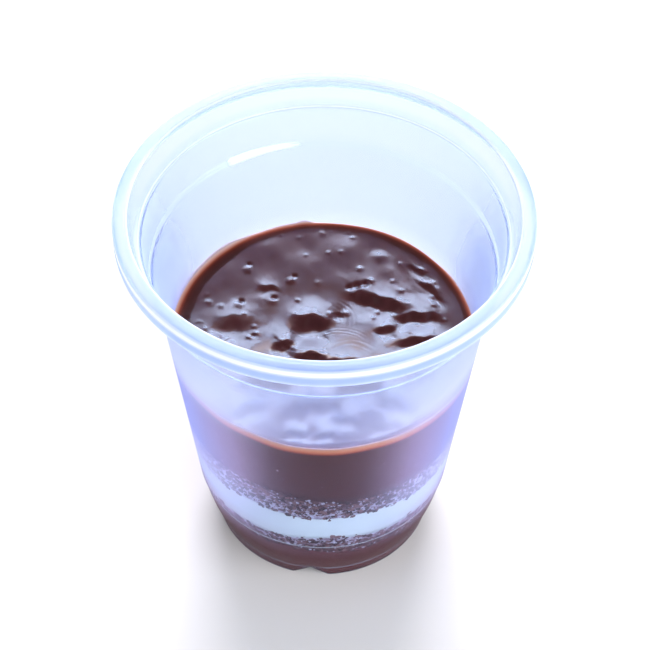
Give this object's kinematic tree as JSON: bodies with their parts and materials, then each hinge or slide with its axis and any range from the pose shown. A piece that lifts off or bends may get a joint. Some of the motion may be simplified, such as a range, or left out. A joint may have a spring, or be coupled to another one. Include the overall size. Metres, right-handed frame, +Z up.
{
  "type": "hazelnut chocolate sundae",
  "caption": "Chilled dessert in a clear tapered cup: chocolate, cake crumbs and white cream in layers under a soft, glossy hazelnut chocolate top.",
  "frame": {"origin": "centre of the standing ring, on the surface that the cup stands on", "axes": "+Z up along the cup's axis, -Y towards the front, +X to the right as seen from the front"},
  "size_m": [0.095, 0.095, 0.104],
  "materials": {
    "clear_plastic": "thin, clear and slightly milky",
    "glossy_chocolate": "soft and glossy",
    "dark_chocolate": "smooth, seen through the cup",
    "cake_crumb": "coarse crumbs",
    "white_cream": "smooth and white"
  },
  "bodies": {
    "root": {"cup": "clear_plastic", "base_chocolate": "dark_chocolate", "lower_crumb": "cake_crumb", "cream": "white_cream", "upper_crumb": "cake_crumb", "hazelnut_chocolate": "glossy_chocolate"}
  },
  "joints": []
}
